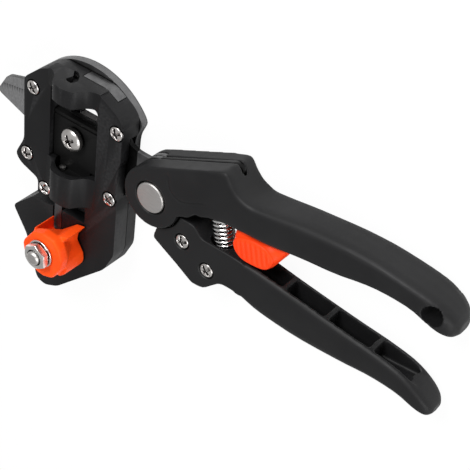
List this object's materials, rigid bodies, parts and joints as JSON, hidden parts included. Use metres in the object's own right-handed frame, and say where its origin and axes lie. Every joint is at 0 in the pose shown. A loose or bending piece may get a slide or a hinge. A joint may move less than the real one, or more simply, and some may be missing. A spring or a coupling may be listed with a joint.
{
  "type": "grafting pruner",
  "caption": "Hand-held grafting tool with a lever-driven blade carriage sliding in its head, a turnable anvil, a side knife, sprung handles and a sliding lock",
  "frame": {"origin": "on the main pivot's axis, at the back of the tool as it lies on its back", "axes": "X from the pivot along the handles, Y up along the head's blade channel, Z out of the front face"},
  "size_m": [0.2148, 0.1097, 0.0345],
  "materials": {
    "black_plastic": "moulded, fine grain",
    "coated_steel": "dark coated sheet",
    "bright_steel": "plated",
    "orange_plastic": "moulded, satin"
  },
  "bodies": {
    "head": {"front_cover": "black_plastic", "rear_cover": "black_plastic", "rear_disc": "coated_steel", "frame_plate": "coated_steel", "upper_handle": "black_plastic", "pivot_rivet": "bright_steel", "pivot_bush": "bright_steel", "anvil_bolt": "bright_steel", "anvil_washer": "bright_steel", "anvil_nut": "bright_steel", "return_spring": "bright_steel", "cover_screw_1": "bright_steel", "cover_screw_2": "bright_steel", "cover_screw_3": "bright_steel", "cover_screw_4": "bright_steel", "cover_screw_5": "bright_steel"},
    "lever": {"lower_handle": "black_plastic", "lever_plate": "coated_steel", "crank_pin": "bright_steel", "handle_screw_1": "bright_steel", "handle_screw_2": "bright_steel"},
    "carriage": {"blade_carriage": "black_plastic", "grafting_blade": "bright_steel", "blade_screw": "bright_steel", "blade_set_screw": "bright_steel"},
    "anvil": {"anvil": "orange_plastic"},
    "lock": {"lock_slider": "orange_plastic"}
  },
  "joints": [
    {"name": "handle_hinge", "type": "hinge", "parent": "head", "child": "lever", "pos_m": [0, 0, 0.005], "axis": [0, 0, 1], "range_deg": [-20, 0], "deforming": ["return_spring"]},
    {"name": "blade_slide", "type": "slide", "parent": "head", "child": "carriage", "axis": [0, 1, 0], "range_m": [0, 0.0148]},
    {"name": "anvil_turn", "type": "hinge", "parent": "head", "child": "anvil", "pos_m": [-0.0422, -0.044, 0.022], "axis": [0, 0, 1], "continuous": true},
    {"name": "lock_slide", "type": "slide", "parent": "head", "child": "lock", "axis": [-0.9974, -0.0715, 0], "range_m": [0, 0.004]}
  ],
  "couplings": [
    {"joint": "blade_slide", "follows": "handle_hinge", "m_per_rad": -0.042}
  ]
}
